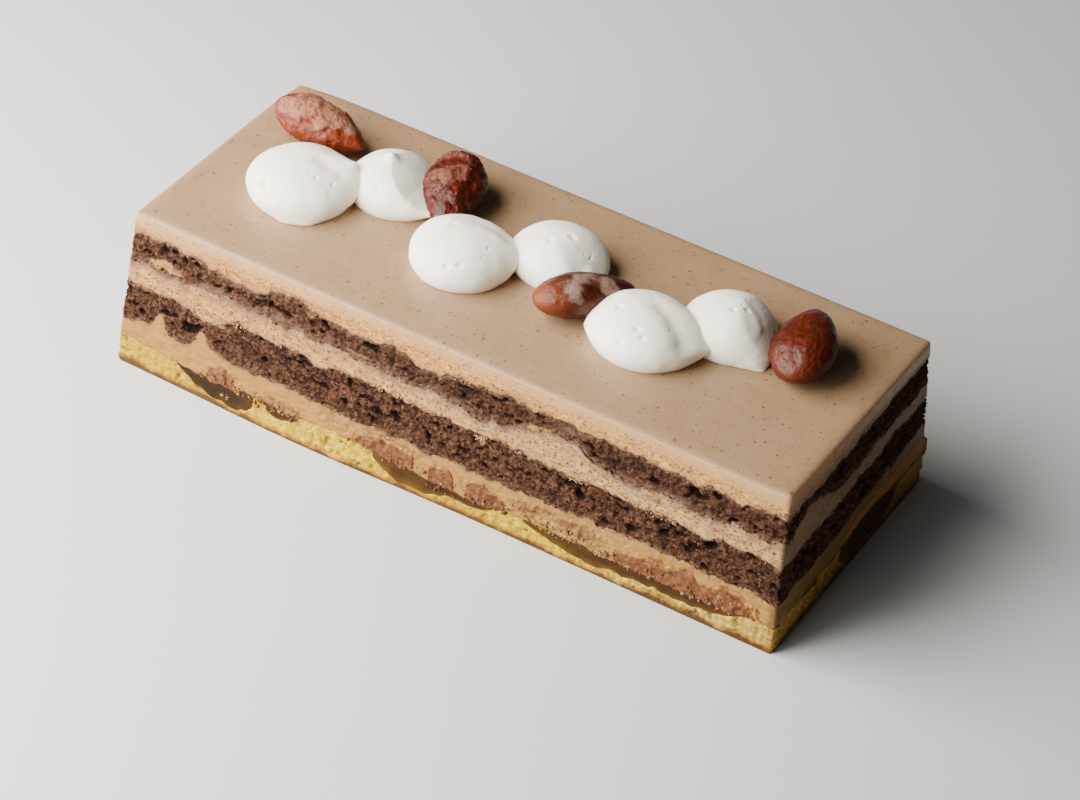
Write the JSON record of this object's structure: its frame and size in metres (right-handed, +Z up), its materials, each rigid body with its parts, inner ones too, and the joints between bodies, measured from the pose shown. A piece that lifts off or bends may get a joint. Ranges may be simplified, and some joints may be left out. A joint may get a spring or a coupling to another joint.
{
  "type": "layered apple cake bar",
  "caption": "Cut bar of layered apple cake: yellow sponge with cooked apple, cinnamon cream, chocolate sponge, poured glaze, piped dollops and sugared almonds.",
  "frame": {"origin": "middle of the box at the underside that the cake rests on", "axes": "+X along the bar, to the right seen from the long cut side; +Y from that side to the one behind; +Z up"},
  "size_m": [0.16, 0.0698, 0.0492],
  "materials": {
    "yellow_sponge": "open yellow crumb with a thin browned underside",
    "cooked_apple": "moist translucent olive brown, cut smooth",
    "praline": "grainy, pink brown, matt",
    "cream": "smooth set cream with small orange brown specks",
    "chocolate_sponge": "dark brown open crumb, matt",
    "glaze": "smooth beige glaze, softly glossy, with fine red brown specks",
    "white_cream": "smooth whipped cream, satin",
    "almond": "red brown skin under a thin cooked sugar crust, part glossy"
  },
  "bodies": {
    "root": {"base_sponge": "yellow_sponge", "lower_cream": "cream", "lower_chocolate_sponge": "chocolate_sponge", "middle_cream": "cream", "upper_chocolate_sponge": "chocolate_sponge", "top_cream": "cream", "glaze": "glaze", "apple_left": "cooked_apple", "apple_small": "cooked_apple", "apple_middle": "cooked_apple", "apple_right": "cooked_apple", "apple_end": "cooked_apple", "praline_left": "praline", "praline_mid_1": "praline", "praline_mid_2": "praline", "praline_mid_3": "praline", "praline_right": "praline", "dollop_1": "white_cream", "dollop_2": "white_cream", "dollop_3": "white_cream", "dollop_4": "white_cream", "dollop_5": "white_cream", "dollop_6": "white_cream", "almond_1": "almond", "almond_2": "almond", "almond_3": "almond", "almond_4": "almond"}
  },
  "joints": []
}
